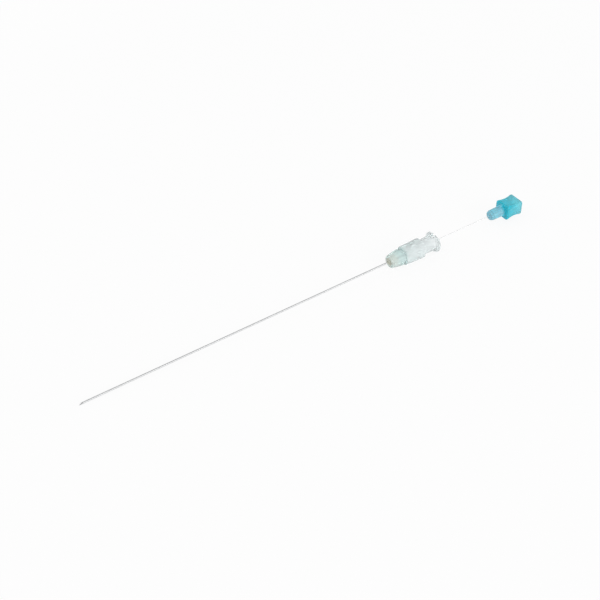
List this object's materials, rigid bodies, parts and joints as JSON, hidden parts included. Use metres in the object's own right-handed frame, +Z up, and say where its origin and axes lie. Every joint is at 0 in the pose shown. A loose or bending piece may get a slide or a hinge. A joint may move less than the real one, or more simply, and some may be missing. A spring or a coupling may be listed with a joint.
{
  "type": "spinal needle",
  "caption": "Long thin spinal needle with a cutting bevel, a clear keyed hub with a tapered lock socket, and a turquoise-handled stylet drawn part of the way out.",
  "frame": {"origin": "centre of the mouth of the hub's tapered socket, on the needle's axis", "axes": "+X back along the needle towards the stylet's handle, so the tip is at -X; +Z up, the side that the bevel and the key slot face; the needle leans 1.31 degrees, tip down, as it lies on a flat surface on its tip and its grip"},
  "size_m": [0.1796, 0.0078, 0.0072],
  "materials": {
    "tube_steel": "fine drawn steel",
    "wire_steel": "bright drawn wire",
    "hub_plastic": "clear moulded plastic with a faint blue-green tint",
    "adhesive_resin": "cured pale amber resin",
    "handle_plastic": "translucent turquoise moulded plastic"
  },
  "bodies": {
    "needle": {"cannula": "tube_steel", "hub": "hub_plastic", "adhesive": "adhesive_resin"},
    "stylet": {"stylet_wire": "wire_steel", "stylet_handle": "handle_plastic"}
  },
  "joints": [
    {"name": "stylet_slide", "type": "slide", "parent": "needle", "child": "stylet", "axis": [0.9997, 0, 0.0229], "range_m": [-0.032, 0.11]}
  ]
}
